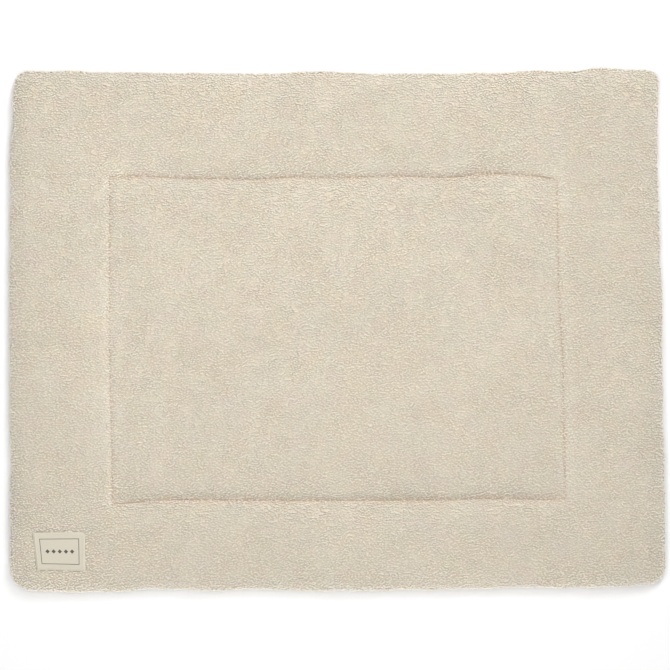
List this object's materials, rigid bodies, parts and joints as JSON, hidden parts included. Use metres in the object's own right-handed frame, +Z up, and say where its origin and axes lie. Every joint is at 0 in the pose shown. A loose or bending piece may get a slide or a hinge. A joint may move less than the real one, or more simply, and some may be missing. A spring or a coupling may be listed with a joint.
{
  "type": "playpen mat",
  "caption": "Flat padded rectangular floor mat in curly fleece, with a quilted inner rectangle, soft rounded edges and a small plain cloth label sewn on near one corner.",
  "frame": {"origin": "under the middle of the mat, on the surface it lies on", "axes": "+X along the long sides, +Y along the short sides away from the label, +Z up out of the fleece face"},
  "size_m": [0.9526, 0.7606, 0.0269],
  "materials": {
    "fleece": "curly short pile, matte, cream",
    "label_cloth": "plain woven cotton, matte, ivory"
  },
  "bodies": {
    "root": {"mat": "fleece", "label": "label_cloth"}
  },
  "joints": []
}
